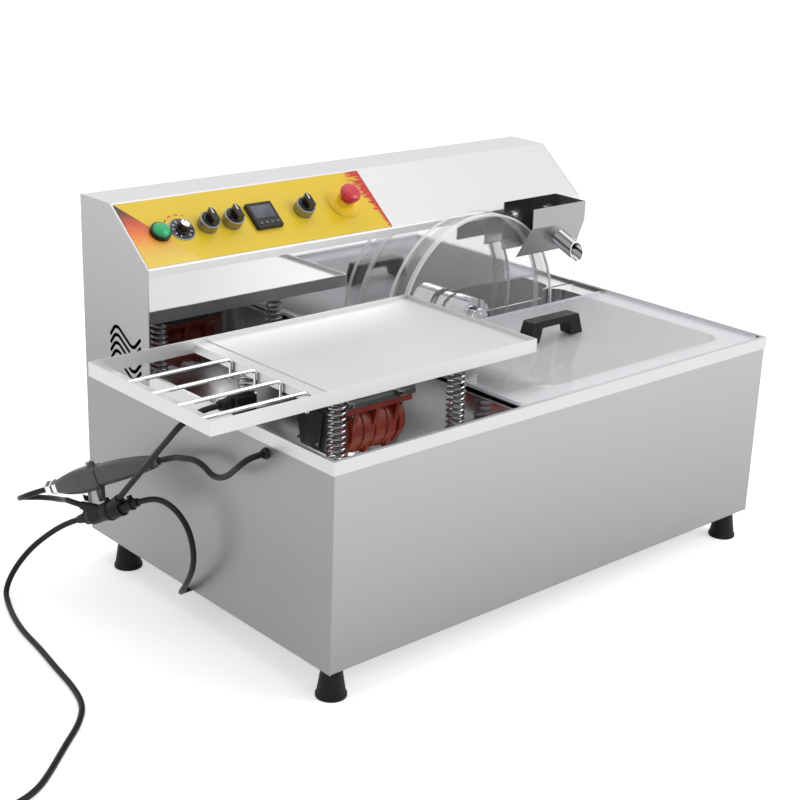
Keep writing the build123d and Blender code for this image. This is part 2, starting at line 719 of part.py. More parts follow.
casting -= motor_ring([
    (0, END_WALL),
    (hollow_r, END_WALL),
    (hollow_r, CHAMBER),
    (core_r, CHAMBER),
    (core_r, bearing_x),
    (hollow_r, bearing_x),
    (hollow_r, motor_l - bearing_x),
    (core_r, motor_l - bearing_x),
    (core_r, motor_l - CHAMBER),
    (hollow_r, motor_l - CHAMBER),
    (hollow_r, motor_l - END_WALL),
    (0, motor_l - END_WALL),
])
bolts = []
for x in (MOTOR_X0 + 18, MOTOR_X1 - 32):
    for y in (bracket_y0 + 6, bracket_y1 - 6):
        hat -= bar((x, y, bracket_z - 1), (x, y, bracket_z + 4), 3)
        casting -= bar((x, y, bracket_z - 16), (x, y, bracket_z + 1), 3)
        bolts.append(turned([(0, -14), (3, -14), (3, SHEET), (5, SHEET), (5, SHEET + 4), (0, SHEET + 4)], (x, y, bracket_z), (0, 0, 1)))
save("motor_bracket", hat)
save("vibration_motor", casting)
save("motor_fasteners", Compound(bolts))
rotor = motor_ring([
    (0, END_WALL + 2),
    (ROTOR_R, END_WALL + 2),
    (ROTOR_R, motor_l - END_WALL - 2),
    (0, motor_l - END_WALL - 2),
])
core_l = motor_l - 2 * bearing_x - 8
rotor += motor_ring([
    (0, bearing_x + 4),
    (hollow_r - 4, bearing_x + 4),
    (hollow_r - 4, bearing_x + 4 + core_l),
    (0, bearing_x + 4 + core_l),
])
weight = motor_ring([(0, END_WALL + 4), (hollow_r - 3, END_WALL + 4), (hollow_r - 3, CHAMBER - 3), (0, CHAMBER - 3)])
for shift in (0, motor_l - END_WALL - CHAMBER - 1):
    half = weight & box(MOTOR_X0, MOTOR_X1, MOTOR_Y - MOTOR_R, MOTOR_Y + MOTOR_R, motor_z - MOTOR_R, motor_z)
    rotor += Pos(shift, 0, 0) * half
save("motor_rotor", rotor)

# Control panel fittings
face_h = OVERLAY_T
RING_R = 16
BEZEL_H = 16
BACK_L = 34


def bezel(x, r, h, seat_r, seat_h):
    return upright(x, ROW_S, [
        (0, -BACK_L),
        (BARREL_R, -BACK_L),
        (BARREL_R, face_h),
        (r, face_h),
        (r, h - 1),
        (r - 1, h),
        (seat_r, h),
        (seat_r, seat_h),
        (0, seat_h),
    ])


bezels = [bezel(PILOT_X, 15, 7, 13.5, 3)]
bezels.append(bezel(DIAL_X, 20.5, 2.4, 19, 2))
for x in (SELECTOR_A_X, SELECTOR_B_X, SELECTOR_C_X):
    bezels.append(bezel(x, RING_R, BEZEL_H, RING_R - 2, 4))
save("control_bezels", Compound(bezels))
save("pilot_lens", upright(PILOT_X, ROW_S, [
    (0, 3),
    (13.5, 3),
    (13.5, 9),
    (11.5, 12),
    (6, 14),
    (0, 14.5),
]))

knob_z = 2 + KNOB_GAP
save("speed_knob", upright(DIAL_X, ROW_S, [
    (0, knob_z),
    (11, knob_z),
    (11, knob_z + 2),
    (9.5, knob_z + 3),
    (8.5, knob_z + 13),
    (7.5, knob_z + 14),
    (0, knob_z + 14),
]))


def selector(x):
    seat = 4 + KNOB_GAP
    dome = upright(x, ROW_S, [
        (0, seat),
        (RING_R - 2.4, seat),
        (RING_R - 2.4, BEZEL_H),
        (RING_R - 4, BEZEL_H + 3),
        (0, BEZEL_H + 4),
    ])
    outline = FilletPolyline(
        (-5.5, -12),
        (-5.5, 6),
        (0, 15),
        (5.5, 6),
        (5.5, -12),
        radius=[3, 2, 3],
        close=False,
    )
    grip = make_face(outline + Line((5.5, -12), (-5.5, -12)))
    return dome + extrude(on_slope(x, ROW_S, BEZEL_H) * grip, amount=13)


save("selector_knob_a", selector(SELECTOR_A_X))
save("selector_knob_b", selector(SELECTOR_B_X))
save("selector_knob_c", selector(SELECTOR_C_X))

# Temperature controller and its keys
CASE_H = 7
KEY_H = 2.2
KEY_D = 5
KEY_W = 6.5
KEY_S = ROW_S - CASE_W / 2 + 8
case_flat = fillet(Rectangle(CASE_W, CASE_W).vertices(), 2.5)
case = extrude(on_slope(CASE_X, ROW_S, face_h) * case_flat, amount=CASE_H)
case += extrude(on_slope(CASE_X, ROW_S, -60) * Rectangle(case_hole - 0.4, case_hole - 0.4), amount=60 + face_h)
case = chamfer(case.faces().sort_by(Axis(on_slope(0, 0).origin, on_slope(0, 0).z_dir))[-1].edges(), 1.2)
screen = extrude(on_slope(CASE_X, ROW_S + 6, face_h + CASE_H - 1) * Rectangle(CASE_W - 10, 24), amount=4)
case -= screen
key_xs = [CASE_X + (i - 1.5) * 10 for i in range(4)]
for i, x in enumerate(key_xs):
    case -= extrude(on_slope(x, KEY_S, face_h + CASE_H - 3) * Rectangle(KEY_W, KEY_D), amount=8)
    key = extrude(on_slope(x, KEY_S, face_h + CASE_H - 1.6) * Rectangle(KEY_W - 2 * KEY_GAP, KEY_D - 2 * KEY_GAP), amount=1.6 + 1)
    save(f"controller_key_{i + 1}", key)
save("controller_case", case)

# Emergency stop
BUTTON_LIFT = 7
stop_base = upright(STOP_X, ROW_S, [
    (0, -BACK_L),
    (BARREL_R, -BACK_L),
    (BARREL_R, face_h),
    (27, face_h),
    (27, face_h + 2),
    (24, face_h + 7),
    (15, face_h + 7),
    (15, face_h + 14),
    (10.5, face_h + 14),
    (10.5, face_h + 2),
    (0, face_h + 2),
])
save("estop_base", stop_base)
head_z = face_h + 14 + BUTTON_LIFT
save("estop_button", upright(STOP_X, ROW_S, [
    (0, face_h + 2 + BUTTON_LIFT),
    (10, face_h + 2 + BUTTON_LIFT),
    (10, head_z),
    (13.5, head_z),
    (16.5, head_z + 2.5),
    (17, head_z + 7),
    (15.5, head_z + 11),
    (10.5, head_z + 13.5),
    (0, head_z + 14.5),
]))

# Cord glands: on the deck, through the left side and under the base
deck_gland = Vector(-14, 229, DECK + 11)
base_gland = Vector(30, 350, BASE - 15)
block_x1 = RIM_LAP + 36
block = slab(RIM_LAP, block_x1, deck_gland.Y - 15, deck_gland.Y + 9, DECK - 22, DECK + 20, 3)
nose_l = RIM_LAP + 4 - deck_gland.X
nose = turned(
    [(0, 0), (7, 0), (8, 3), (8, 12), (9, 13), (9, nose_l), (0, nose_l)],
    deck_gland,
    (1, 0, 0),
)
grommet_mouth = (-7, GROMMET[1], GROMMET[2])
grommet = turned([(0, 0), (6, 0), (8, 5), (8, 7), (6, 7), (6, 12), (0, 12)], grommet_mouth, (1, 0, 0))
base_box = slab(base_gland.X + 22, base_gland.X + 76, base_gland.Y - 20, base_gland.Y + 20, BASE - 28, BASE, 4)
base_nose = turned([(0, 0), (6, 0), (8, 4), (8, 14), (9, 15), (9, 23), (0, 23)], base_gland, (1, 0, 0))
save("cord_glands", Compound([block + nose, grommet, base_box + base_nose]))

# Splice that joins the table, base, link and mains cords
splice_a = Vector(-100, 462, BASE + 89)
splice_b = Vector(-60, 364, BASE + 140)
splice_axis = splice_b - splice_a
splice_l = splice_axis.length
splice = turned(
    [
        (0, 0),
        (6, 0),
        (8, 14),
        (12, 22),
        (14, 30),
        (13, 50),
        (15, 62),
        (13, 82),
        (10, 88),
        (8, splice_l - 16),
        (6, splice_l),
        (0, splice_l),
    ],
    splice_a,
    splice_axis,
)
table_joint = splice_a + splice_axis * 0.5
table_mouth = table_joint + Vector(0.01, -0.7, 0.714) * 42
link_joint = splice_a + splice_axis * 0.42
link_mouth = link_joint + Vector(-0.42, 0.9, 0.1) * 38
splice += cone(table_joint, table_mouth, 10, 6)
splice += cone(link_joint, link_mouth, 10, 6)
save("cord_splice", splice)

# In-line hand unit with two levers
unit_a = Vector(-112, 520, BASE + 122)
unit_b = Vector(-32, 351, BASE + 201)
unit_axis = (unit_b - unit_a).normalized()
unit_l = (unit_b - unit_a).length
unit_side = unit_axis.cross(Vector(0, 0, 1)).normalized()
unit_up = unit_side.cross(unit_axis)
UNIT_T = 26


def unit_plane(along, up=0):
    spot = unit_a + unit_axis * along + unit_up * up
    return Plane(origin=spot, x_dir=unit_side, z_dir=unit_axis)


def unit_section(along, w, h, up=0):
    return unit_plane(along, up) * fillet(Rectangle(w, h).vertices(), min(w, h) * 0.3)


half_a = loft([unit_section(14, 16, 18), unit_section(36, UNIT_T, 30), unit_section(96, UNIT_T + 3, 34)])
half_b = loft([unit_section(96, UNIT_T, 31, 1), unit_section(150, UNIT_T - 2, 28, 1), unit_section(unit_l - 12, 17, 19)])
unit = half_a + half_b
unit += turned([(0, 0), (6, 0), (8, 3), (9, 5), (9, 14), (0, 14)], unit_a, unit_axis)
tail = unit_b - unit_axis * 14
unit += turned([(0, 0), (8, 0), (8, 8), (6, 14), (0, 14)], tail, unit_axis)
boss = unit_plane(86, 15).origin
boss_top = unit_plane(86, 24).origin
unit += cone(boss, boss_top, 7, 5)
LEVER_T = 9
levers = []
for i, (along, length) in enumerate(((60, 22), (86, 20))):
    hinge = unit_plane(along, -10)
    flat = Plane(origin=hinge.origin - unit_side * LEVER_T / 2, x_dir=unit_axis, z_dir=unit_side)
    outline = make_face(Polyline((-6, 3), (7, 3), (6, -7), (-1, -7 - length), (-6, -6 - length), (-5, -8), close=True))
    lever = extrude(flat * outline, amount=LEVER_T)
    pocket = make_face(Polyline((-12, 6), (13, 6), (13, -12), (-12, -12), close=True))
    room = Plane(origin=hinge.origin - unit_side * (LEVER_T / 2 + 0.4), x_dir=unit_axis, z_dir=unit_side)
    unit -= extrude(room * pocket, amount=LEVER_T + 0.8)
    levers.append(lever)
    print("lever pivot", i + 1, hinge.origin, "axis", unit_side)
save("hand_unit", unit)
save("unit_lever_1", levers[0])
save("unit_lever_2", levers[1])

# Cords
LEAD_Z = CORD_D / 2 + 0.1
table_way = (table_mouth - table_joint).normalized()
link_way = (link_mouth - link_joint).normalized()
splice_way = splice_axis.normalized()
table_route = [
    deck_gland,
    (-38, deck_gland.Y, deck_gland.Z),
    (-58, 229, DECK + 5),
    (-72, 234, DECK - 5),
    table_mouth + table_way * ((DECK - 18 - table_mouth.Z) / table_way.Z),
    table_mouth,
]
save("table_cord", cord("table_cord", table_route))

base_route = [
    splice_b,
    splice_b + splice_way * 26,
    (-46, 316, BASE + 154),
    (-42, 290, BASE + 146),
    (-38, 270, BASE + 126),
    (-35, 263, BASE + 98),
    (-31, 269, BASE + 68),
    (-27, 285, BASE + 42),
    (-20, 308, BASE + 16),
    (-14, 326, BASE - 1),
    (-4, 342, BASE - 11),
    (8, base_gland.Y, base_gland.Z),
    base_gland,
]
save("base_cord", cord("base_cord", base_route))

link_route = [
    unit_a,
    unit_a - unit_axis * 24,
    (-133, 560, BASE + 101),
    (-131, 583, BASE + 89),
    (-121, 597, BASE + 83),
    (-104, 597, BASE + 79),
    (-94, 583, BASE + 81),
    (-88, 560, BASE + 86),
    (-88, 532, BASE + 93),
    (-95, 505, BASE + 104),
    link_mouth + link_way * 26,
    link_mouth,
]
save("link_cord", cord("link_cord", link_route))

unit_route = [
    unit_b,
    unit_b + unit_axis * 26,
    (-26, 300, BASE + 220),
    (-26, 272, BASE + 227),
    (-27, 247, BASE + 226),
    (-28, 229, BASE + 219),
    (-29, 208, BASE + 221),
    (-31, 186, BASE + 232),
    (-34, 168, BASE + 246),
    (-37, 148, BASE + 262),
    (-26, GROMMET[1], GROMMET[2]),
    grommet_mouth,
]
save("unit_cord", cord("unit_cord", unit_route))

lead_route = [
    splice_a,
    splice_a - splice_way * 24,
    (-121, 512, BASE + 55),
    (-139, 540, BASE + 25),
    (-160, 556, BASE - 10),
    (-180, 549, 12),
    (-191, 520, LEAD_Z),
    (-205, 478, LEAD_Z),
    (-216, 430, LEAD_Z),
    (-222, 372, LEAD_Z),
    (-232, 310, LEAD_Z),
    (-240, 250, LEAD_Z),
    (-254, 200, LEAD_Z),
    (-283, 163, LEAD_Z),
    (-322, 130, LEAD_Z),
    (-366, 90, LEAD_Z),
]
coil_mid = Vector(-466, -2, 0)
coil_out = COIL_R + CORD_D + 2
to_lead = (Vector(*lead_route[-1]) - coil_mid).normalized()
lead_end = coil_mid + to_lead * (coil_out + 0.2)
lead_route.append((lead_end.X, lead_end.Y, LEAD_Z))
save("mains_lead", cord("mains_lead", lead_route))
lead_used = cord_path(lead_route)[0].length
coil_turns = (LEAD_LENGTH - lead_used) / (2 * math.pi * COIL_R)
coil_h = math.ceil(coil_turns / 2) * CORD_D
coil_ring = turned(
    [
        (COIL_R - CORD_D, 0),
        (COIL_R + CORD_D, 0),
        (coil_out, 4),
        (COIL_R + CORD_D, coil_h),
        (COIL_R - CORD_D, coil_h),
        (COIL_R - CORD_D - 2, 4),
    ],
    coil_mid,
    (0, 0, 1),
)
save("cord_coil", coil_ring)

# Mains plug with two round pins, lying on the coil
PLUG_R = 17
plug_at = Vector(coil_mid.X - 26, coil_mid.Y - 34, coil_h + PLUG_R)
plug = turned(
    [(0, 0), (6, 0), (8, 22), (14, 30), (PLUG_R, 42), (PLUG_R, 52), (0, 52)],
    plug_at,
    (1, 0, 0),
)
for y in (-9.5, 9.5):
    pin = plug_at + Vector(50, y, 0)
    plug += bar(pin, pin + Vector(21, 0, 0), 2.4)
save("mains_plug", plug)
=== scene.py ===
# Looks of the chocolate melting tank, in metres, in the same frame as its solids.
import math

import bpy
from mathutils import Matrix, Vector


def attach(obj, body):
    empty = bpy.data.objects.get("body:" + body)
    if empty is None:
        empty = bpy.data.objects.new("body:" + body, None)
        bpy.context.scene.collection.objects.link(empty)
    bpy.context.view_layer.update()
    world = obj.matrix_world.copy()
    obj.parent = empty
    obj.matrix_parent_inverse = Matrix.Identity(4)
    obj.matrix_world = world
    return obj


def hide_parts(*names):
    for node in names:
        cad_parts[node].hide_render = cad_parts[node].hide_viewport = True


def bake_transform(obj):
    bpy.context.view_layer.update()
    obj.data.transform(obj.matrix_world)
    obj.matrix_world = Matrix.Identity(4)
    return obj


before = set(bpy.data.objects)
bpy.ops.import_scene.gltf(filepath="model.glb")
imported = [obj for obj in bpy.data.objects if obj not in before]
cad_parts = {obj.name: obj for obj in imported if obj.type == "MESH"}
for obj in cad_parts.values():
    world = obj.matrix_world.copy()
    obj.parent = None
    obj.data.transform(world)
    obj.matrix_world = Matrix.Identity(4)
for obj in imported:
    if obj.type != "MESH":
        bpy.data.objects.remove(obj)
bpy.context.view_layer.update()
bpy.context.scene.view_settings.view_transform = "Standard"


# Camera at the photograph's place, a pale floor that keeps the shadow, a surround that is
# white to look at and lights less from the left, and three soft lamps: one high at the
# front right, one low at the left and one over the deck.
eye = Vector((-1.5479, -1.7050, 1.0932))
camera = bpy.data.objects.new("camera", bpy.data.cameras.new("camera"))
camera.data.sensor_width = 36
camera.data.lens = 70.649
camera.data.clip_end = 50
right = Vector((0.748376, -0.662453, 0.033012))
up = Vector((0.200289, 0.273156, 0.940888))
back = Vector((-0.632311, -0.697526, 0.337105))
camera.matrix_world = Matrix.Translation(eye) @ Matrix((right, up, back)).transposed().to_4x4()
bpy.context.collection.objects.link(camera)
bpy.context.scene.camera = camera


class Reading:
    def __init__(self, finish, socket):
        self.finish = finish
        self.socket = socket

    def math(self, operation, *others, clamp=False):
        settings = {"operation": operation, "use_clamp": clamp}
        return self.finish.node("ShaderNodeMath", settings, dict(enumerate((self,) + others)))

    def __add__(self, other):
        return self.math("ADD", other)

    def __sub__(self, other):
        return self.math("SUBTRACT", other)

    def __mul__(self, other):
        return self.math("MULTIPLY", other)

    def __truediv__(self, other):
        return self.math("DIVIDE", other)

    def __rsub__(self, other):
        return (self * -1.0).math("ADD", other)

    def __gt__(self, other):
        return self.math("GREATER_THAN", other)

    def __lt__(self, other):
        return self.math("LESS_THAN", other)

    def clamped(self):
        return self.math("ADD", 0.0, clamp=True)

    __radd__ = __add__
    __rmul__ = __mul__


class Finish:
    def __init__(self, name, colour, rough, metal=0.0, **fixed):
        self.material = bpy.data.materials.new(name)
        self.material.use_nodes = True
        self.tree = self.material.node_tree
        self.shader = self.tree.nodes["Principled BSDF"]
        self.set(Base_Color=colour, Roughness=rough, Metallic=metal, **fixed)
        self.spot = self.node("ShaderNodeTexCoord", out="Object")

    def node(self, kind, settings={}, sockets={}, out=0):
        made = self.tree.nodes.new(kind)
        for key, value in settings.items():
            setattr(made, key, value)
        for key, value in sockets.items():
            self.feed(made.inputs[key], value)
        return Reading(self, made.outputs[out])

    def feed(self, socket, value):
        if isinstance(value, Reading):
            self.tree.links.new(value.socket, socket)
        elif socket.type == "RGBA" and len(value) == 3:
            socket.default_value = (*value, 1.0)
        else:
            socket.default_value = value

    def set(self, **sockets):
        for key, value in sockets.items():
            self.feed(self.shader.inputs[key.replace("_", " ")], value)

    def split(self):
        apart = self.node("ShaderNodeSeparateXYZ", {}, {0: self.spot}).socket.node
        return [Reading(self, apart.outputs[axis]) for axis in "XYZ"]

    def stretched(self, scale):
        return self.node("ShaderNodeMapping", {}, {0: self.spot, "Scale": scale})

    def noise(self, scale, detail=2.0, spot=None, rough=0.5):
        sockets = {"Vector": spot or self.spot, "Scale": scale, "Detail": detail, "Roughness": rough}
        return self.node("ShaderNodeTexNoise", {}, sockets)

    def ramp(self, share, stops):
        made = self.node("ShaderNodeValToRGB", {}, {0: share})
        elements = made.socket.node.color_ramp.elements
        while len(elements) < len(stops):
            elements.new(0.5)
        for element, (place, shade) in zip(elements, stops):
            element.position = place
            element.color = (*shade, 1)
        return made

    def mix(self, share, low, high):
        return self.node("ShaderNodeMix", {"data_type": "RGBA"}, {0: share, 6: low, 7: high}, out=2)

    def relief(self, height, depth, strength=1.0):
        bump = self.node(
            "ShaderNodeBump", {}, {"Height": height, "Distance": depth, "Strength": strength}
        )
        self.set(Normal=bump)


def dress(finish, *names):
    for name in names:
        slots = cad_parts[name].data.materials
        slots.clear()
        slots.append(finish.material)


def lamp(name, place, aim, size, watts):
    light = bpy.data.lights.new(name, "AREA")
    light.shape = "RECTANGLE"
    light.size, light.size_y = size
    light.energy = watts
    hung = bpy.data.objects.new(name, light)
    hung.location = place
    hung.rotation_euler = (Vector(aim) - Vector(place)).to_track_quat("-Z", "Y").to_euler()
    bpy.context.collection.objects.link(hung)


lamp("lamp_front_right", (3.0, -3.6, 3.2), (0.1, -0.1, 0.2), (3.0, 2.4), 88)
lamp("lamp_left", (-3.0, 0.6, 2.0), (-0.2, 0.2, 0.4), (1.8, 1.4), 9)
lamp("lamp_top", (0.3, 0.6, 3.2), (0.1, 0.0, 0.0), (3.4, 2.8), 24)


def shown(tree):
    rays = tree.nodes.new("ShaderNodeLightPath")
    seen = rays.outputs["Is Camera Ray"]
    for kind in ("Is Glossy Ray", "Is Transmission Ray"):
        either = tree.nodes.new("ShaderNodeMath")
        either.operation = "MAXIMUM"
        tree.links.new(seen, either.inputs[0])
        tree.links.new(rays.outputs[kind], either.inputs[1])
        seen = either.outputs[0]
    return seen


world = bpy.data.worlds.new("studio")
bpy.context.scene.world = world
world.use_nodes = True
sky = world.node_tree
way = sky.nodes.new("ShaderNodeTexCoord")
parts = sky.nodes.new("ShaderNodeSeparateXYZ")
level = sky.nodes.new("ShaderNodeMapRange")
for limit, value in (("From Min", -0.9), ("From Max", 0.6), ("To Min", 0.34), ("To Max", 0.95)):
    level.inputs[limit].default_value = value
behind = sky.nodes.new("ShaderNodeMix")
behind.data_type = "FLOAT"
behind.inputs[3].default_value = 1.0
sky.links.new(way.outputs["Generated"], parts.inputs[0])
sky.links.new(parts.outputs["X"], level.inputs["Value"])
sky.links.new(level.outputs[0], behind.inputs[2])
sky.links.new(shown(sky), behind.inputs[0])
sky.nodes["Background"].inputs["Color"].default_value = (1, 1, 1, 1)
sky.links.new(behind.outputs[0], sky.nodes["Background"].inputs["Strength"])

bpy.ops.mesh.primitive_grid_add(x_subdivisions=4, y_subdivisions=4, size=24)
floor = bpy.context.object
floor.name = "floor"
floor_finish = Finish("floor_paper", (0.9, 0.9, 0.9), 0.9)
seen = Reading(floor_finish, shown(floor_finish.tree))
floor_finish.set(Emission_Color=(1, 1, 1), Emission_Strength=seen * 0.46)
floor.data.materials.append(floor_finish.material)


# Cords. Five black rubber cords of the same flex: from the table's block, from under the
# base and from the hand unit to the moulded splice, from the hand unit into the left side,
# and the mains lead, whose spare length is wound into a coil on the floor by its plug.
CORD = 0.0086
MIDDLE_X = 379.5
MIDDLE_Y = 297.5


# Takes millimetres from the cabinet's left side, from its front and over the floor.
def at(x, y, z):
    return Vector(((x - MIDDLE_X) / 1000, (y - MIDDLE_Y) / 1000, z / 1000))


flex = Finish("cord_rubber", (0.006, 0.006, 0.006), 0.46, Specular_IOR_Level=0.22)
grain = flex.noise(900, 3)
flex.set(
    Base_Color=flex.mix(flex.noise(30, 3), (0.003, 0.003, 0.003), (0.01, 0.01, 0.011)),
    Roughness=0.36 + grain * 0.16,
)
flex.relief(grain, 0.0002, 0.4)


def lay_cord(name, points):
    curve = bpy.data.curves.new(name, "CURVE")
    curve.dimensions = "3D"
    curve.bevel_depth = CORD / 2
    curve.bevel_resolution = 5
    curve.use_fill_caps = True
    curve.resolution_u = 8
    spline = curve.splines.new("NURBS")
    spline.points.add(len(points) - 1)
    for spot, point in zip(spline.points, points):
        spot.co = (*at(*point), 1)
    spline.order_u = 3
    spline.use_endpoint_u = True
    made = bpy.data.objects.new(name, curve)
    bpy.context.collection.objects.link(made)
    curve.materials.append(flex.material)
    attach(made, "cabinet")
    return made


TABLE_EXIT = (-14, 229, 364)
BASE_EXIT = (30, 350, 33)
UNIT_END = (-112, 520, 170)
SIDE_EXIT = (-7, 141, 320)
SPLICE_END = (-100, 462, 137)
table_points = [
    TABLE_EXIT,
    (-38, 229, 364),
    (-58, 229, 358),
    (-72, 234, 348),
    (-77.6, 243.6, 335.3),
    (-79.6, 383.6, 192.5),
]
base_points = [
    BASE_EXIT,
    (8, 350, 33),
    (-4, 342, 37),
    (-14, 326, 47),
    (-20, 308, 64),
    (-27, 285, 90),
    (-31, 269, 116),
    (-35, 263, 146),
    (-38, 270, 174),
    (-42, 290, 194),
    (-46, 316, 202),
    (-51.1, 342.3, 199.3),
    (-60, 364, 188),
]
link_points = [
    UNIT_END,
    (-121.5, 540, 160.7),
    (-133, 560, 149),
    (-131, 583, 137),
    (-121, 597, 131),
    (-104, 597, 127),
    (-94, 583, 129),
    (-88, 560, 134),
    (-88, 532, 141),
    (-95, 505, 152),
    (-110.1, 478.5, 164.8),
    (-99.2, 455, 162.2),
]
unit_points = [
    SIDE_EXIT,
    (-26, 141, 320),
    (-37, 148, 310),
    (-34, 168, 294),
    (-31, 186, 280),
    (-29, 208, 269),
    (-28, 229, 267),
    (-27, 247, 274),
    (-26, 272, 275),
    (-26, 300, 268),
    (-21.8, 329.4, 259.1),
    (-32, 351, 249),
]
lead_points = [
    SPLICE_END,
    (-108.2, 482, 126.6),
    (-121, 512, 103),
    (-139, 540, 73),
    (-160, 556, 38),
    (-180, 549, 12),
    (-191, 520, 4.4),
    (-205, 478, 4.4),
    (-216, 430, 4.4),
    (-222, 372, 4.4),
    (-232, 310, 4.4),
    (-240, 250, 4.4),
    (-254, 200, 4.4),
    (-283, 163, 4.4),
    (-322, 130, 4.4),
    (-366, 90, 4.4),
    (-394, 68, 4.4),
    (-424, 56, 4.4),
]


def eased(turned, start, end):
    share = min(max((turned - start) / (end - start), 0), 1)
    return share * share * (3 - 2 * share)


# The coil starts on its outer turn, steps in, climbs, steps out, and rises into the plug.
COIL_X = -466
COIL_Y = -2
COIL_REACH = 52.3
COIL_START = 95
STEP_ANGLE = 22.5
LYING = 4.4
PLUG_X = -492
RISE_REACH = 35.2
cord_mm = CORD * 1000
for step in range(51):
    turned = step * STEP_ANGLE
    inward = cord_mm * (eased(turned, 270, 350) - eased(turned, 690, 770))
    reach = (COIL_REACH - inward) / math.cos(math.pi / 16)
    height = LYING + cord_mm * (eased(turned, 600, 690) + eased(turned, 1030, 1110))
    angle = math.radians(COIL_START + turned)
    lead_points.append((COIL_X + reach * math.cos(angle), COIL_Y + reach * math.sin(angle), height))
for turned, height in ((152, 25), (178, 28), (204, 30.5), (230, 32.5), (254, 33.8)):
    angle = math.radians(turned)
    across = RISE_REACH * math.cos(angle)
    lead_points.append((PLUG_X + across, COIL_Y + RISE_REACH * math.sin(angle), height))
lead_points.append((PLUG_X, -36, 34.2))

table_cord = lay_cord("table_flex", table_points)
base_cord = lay_cord("base_flex", base_points)
link_cord = lay_cord("link_flex", link_points)
unit_cord = lay_cord("unit_flex", unit_points)
mains_lead = lay_cord("mains_flex", lead_points)
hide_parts("table_cord")
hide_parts("base_cord")
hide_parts("link_cord")
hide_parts("unit_cord")
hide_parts("mains_lead", "cord_coil")
at(*TABLE_EXIT)
at(*BASE_EXIT)
at(*SIDE_EXIT)
at(*UNIT_END)
at(*SPLICE_END)
dress(flex, "cord_splice", "mains_plug", "cord_glands")


# Cabinet sheets. Thin stainless sheet with a fine brushed grain that runs level round
# the walls and along the tops; the walls and the left side are painted paler towards the
# top, which is painted light. The back wall is polished, with painted light darker on its
# left and lighter on its right, and the shaft, the hub, the rods and the screws carry a
# painted reflection: dark and light bands set by the angle of the surface to the view.
# Painted light: the last two arguments make a sheet paler towards the top, from a painted tone over a
# given rise in height.
def brushed(name, scale, tone, rough, spread=0.04, painted_light_tone=0.0, painted_light_rise=(0.34, 0.25)):
    made = Finish(name, (tone, tone, tone), rough, 1.0)
    lines = made.noise(1.0, 4, made.stretched(scale), 0.6)
    haze = made.noise(5, 3)
    low = tone - spread
    high = tone + spread
    tint = made.mix(lines * 0.6 + haze * 0.4, (low, low, low * 1.005), (high, high, high * 1.005))
    if painted_light_tone:
        share = ((made.split()[2] - painted_light_rise[0]) / painted_light_rise[1]).clamped()
        tint = made.mix(share, tint, made.mix(lines * 0.3, (painted_light_tone, painted_light_tone, painted_light_tone), tint))
    made.set(Base_Color=tint, Roughness=rough - 0.06 + lines * 0.08 + haze * 0.05)
    made.relief(lines, 0.00006, 0.35)
    return made


# Painted light: the wall and left-side copies differ in tone, and both grow paler towards the top.
wall_steel = brushed("brushed_wall", (6, 6, 900), 0.285, 0.38, 0.03, 0.41, (0.02, 0.3))
side_steel = brushed("brushed_side", (6, 6, 900), 0.31, 0.42, 0.03, 0.48)
top_steel = brushed("brushed_top", (6, 900, 6), 0.65, 0.5)
inner_steel = brushed("pressed_steel", (8, 60, 8), 0.72, 0.16)
dark_steel = brushed("folded_steel", (8, 500, 8), 0.31, 0.22)
satin_steel = brushed("satin_ring", (200, 200, 200), 0.3, 0.4)
rim_steel = brushed("rim_strip", (6, 6, 900), 0.56, 0.36)
dress(wall_steel, "right_side_panel", "front_panel", "rear_panel", "bottom_plate")
dress(rim_steel, "top_rim")
dress(side_steel, "left_side_panel")
dress(top_steel, "console_cover", "tray_plate", "tray_frame")
dress(dark_steel, "scraper_hopper", "scraper_blade")
dress(satin_steel, "control_bezels", "motor_bracket")
dress(inner_steel, "well_pan", "melting_tank")

mirror = Finish("polished_wall", (0.58, 0.585, 0.59), 0.05, 1.0)
# Painted light: the polished wall is painted darker on its left and lighter on its right.
painted_light_rightward = ((mirror.split()[0] + 0.3) / 0.6).clamped()
mirror.set(
    Base_Color=mirror.mix(painted_light_rightward, (0.5, 0.505, 0.51), (0.78, 0.785, 0.79)),
    Roughness=0.02 + mirror.noise(14, 4) * 0.06,
)
mirror.relief(mirror.noise(3.5, 2), 0.0012, 0.5)
dress(mirror, "back_wall")

chrome = Finish("polished_steel", (0.84, 0.84, 0.85), 0.12, 1.0)
# Painted reflection: dark and light bands in the base colour, chosen by the angle the surface faces the
# view.
glance = chrome.node("ShaderNodeLayerWeight", {}, {"Blend": 0.5}, out="Facing")
painted_reflection_bands = (
    (0.0, 0.32, 0.33),
    (0.09, 0.12, 0.125),
    (0.2, 0.78, 0.79),
    (0.41, 0.86, 0.87),
    (0.48, 0.13, 0.14),
    (0.56, 0.2, 0.21),
    (0.62, 0.86, 0.88),
    (0.76, 0.74, 0.75),
    (0.87, 0.08, 0.085),
    (1.0, 0.36, 0.37),
)
painted_reflection = chrome.ramp(glance, [(place, (grey, grey, blue)) for place, grey, blue in painted_reflection_bands])
chrome.set(Base_Color=painted_reflection, Roughness=0.05 + chrome.noise(60, 4) * 0.1)
chrome.relief(chrome.noise(400, 3), 0.00003, 0.3)
dress(chrome, "wheel_hub", "drive_shaft", "lock_nut", "spout_tube", "scraper_studs", "shaft_bearing")
dress(chrome, "tray_rods", "handle_screws", "motor_fasteners", "hub_rings")
dress(inner_steel, "gearmotor", "tank_heater", "motor_rotor")


# Feet, knobs, the lid's handle and the controller's case. The feet are dull black rubber,
# and the rest is black moulded plastic with a soft gloss.
rubber = Finish("foot_rubber", (0.01, 0.01, 0.01), 0.55, Specular_IOR_Level=0.2)
rubber.set(Base_Color=rubber.mix(rubber.noise(40, 4), (0.003, 0.003, 0.003), (0.01, 0.01, 0.01)))
rubber.relief(rubber.noise(700, 3), 0.0003, 0.5)
dress(rubber, "feet")

